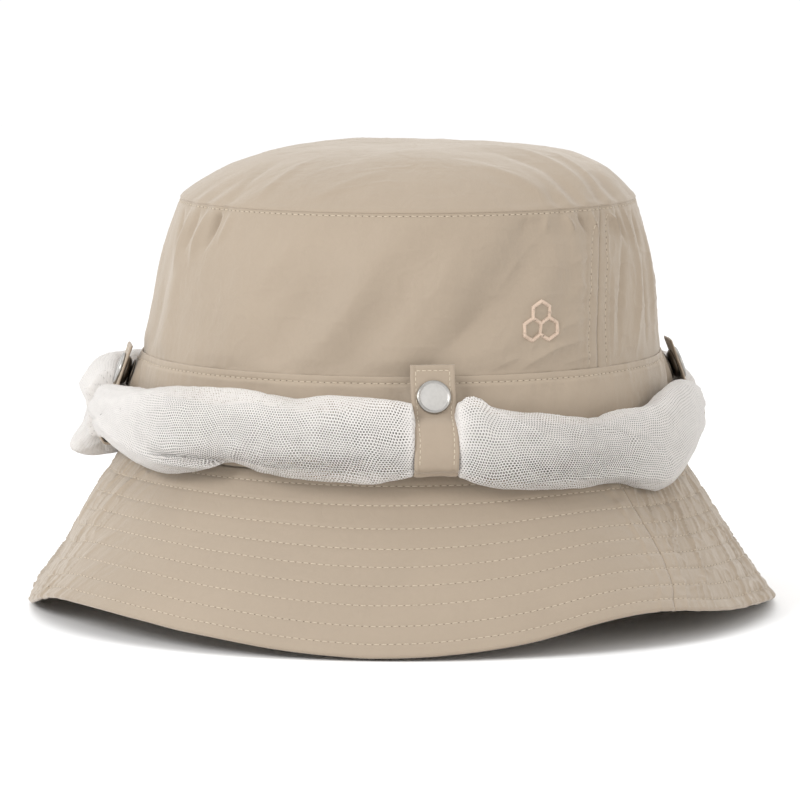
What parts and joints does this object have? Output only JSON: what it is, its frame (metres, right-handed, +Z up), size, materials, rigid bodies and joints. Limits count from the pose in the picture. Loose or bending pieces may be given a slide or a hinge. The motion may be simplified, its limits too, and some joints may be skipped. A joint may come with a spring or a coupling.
{
  "type": "beekeeping veil",
  "caption": "Bucket hat with an insect head net rolled round its crown, held by snap straps that fold down to release the net.",
  "frame": {"origin": "centre of the hat's box at the level of the lowest points of the brim's edge, under the crown's axis", "axes": "+Z up, along the crown's axis; -Y towards the front strap; +X to the wearer's left"},
  "size_m": [0.2632, 0.2688, 0.1628],
  "materials": {
    "crown_nylon": "crinkled matt nylon",
    "brim_lining": "crinkled matt nylon",
    "stiffener": "matt interlining",
    "binding_tape": "matt tape",
    "sweatband_towelling": "soft knit",
    "veil_net": "open hexagonal net, rolled",
    "elastic_cord": "covered elastic",
    "strap_nylon": "matt nylon",
    "snap_cap_metal": "satin nickel",
    "snap_dark_metal": "antique, satin",
    "spring_wire": "drawn wire"
  },
  "bodies": {
    "root": {"crown_top_panel": "crown_nylon", "crown_side_panel_front": "crown_nylon", "crown_side_panel_back": "crown_nylon", "crown_band_front": "crown_nylon", "crown_band_back": "crown_nylon", "brim_top_front": "crown_nylon", "brim_top_back": "crown_nylon", "brim_under_front": "brim_lining", "brim_under_back": "brim_lining", "brim_stiffener_front": "stiffener", "brim_stiffener_back": "stiffener", "crown_top_seam_tape": "binding_tape", "brim_seam_tape": "binding_tape", "veil_attachment_tape": "binding_tape", "sweatband": "sweatband_towelling", "veil_net_roll": "veil_net", "veil_hem_elastic": "elastic_cord", "strap_root_front": "strap_nylon", "strap_root_right": "strap_nylon", "strap_root_back": "strap_nylon", "strap_root_left": "strap_nylon", "snap_studs": "snap_dark_metal", "snap_posts": "snap_dark_metal"},
    "strap_front": {"strap_flap_front": "strap_nylon", "snap_cap_front": "snap_cap_metal", "snap_socket_front": "snap_dark_metal", "snap_ring_spring_front": "spring_wire"},
    "strap_right": {"strap_flap_right": "strap_nylon", "snap_cap_right": "snap_cap_metal", "snap_socket_right": "snap_dark_metal", "snap_ring_spring_right": "spring_wire"},
    "strap_back": {"strap_flap_back": "strap_nylon", "snap_cap_back": "snap_cap_metal", "snap_socket_back": "snap_dark_metal", "snap_ring_spring_back": "spring_wire"},
    "strap_left": {"strap_flap_left": "strap_nylon", "snap_cap_left": "snap_cap_metal", "snap_socket_left": "snap_dark_metal", "snap_ring_spring_left": "spring_wire"}
  },
  "joints": [
    {"name": "strap_front_fold", "type": "hinge", "parent": "root", "child": "strap_front", "pos_m": [0, -0.10741, 0.05827], "axis": [1, 0, 0], "range_deg": [0, 150]},
    {"name": "strap_right_fold", "type": "hinge", "parent": "root", "child": "strap_right", "pos_m": [0.10555, 0, 0.05827], "axis": [0, 1, 0], "range_deg": [0, 150]},
    {"name": "strap_back_fold", "type": "hinge", "parent": "root", "child": "strap_back", "pos_m": [0, 0.10741, 0.05827], "axis": [-1, 0, 0], "range_deg": [0, 150]},
    {"name": "strap_left_fold", "type": "hinge", "parent": "root", "child": "strap_left", "pos_m": [-0.10555, 0, 0.05827], "axis": [0, -1, 0], "range_deg": [0, 150]}
  ]
}
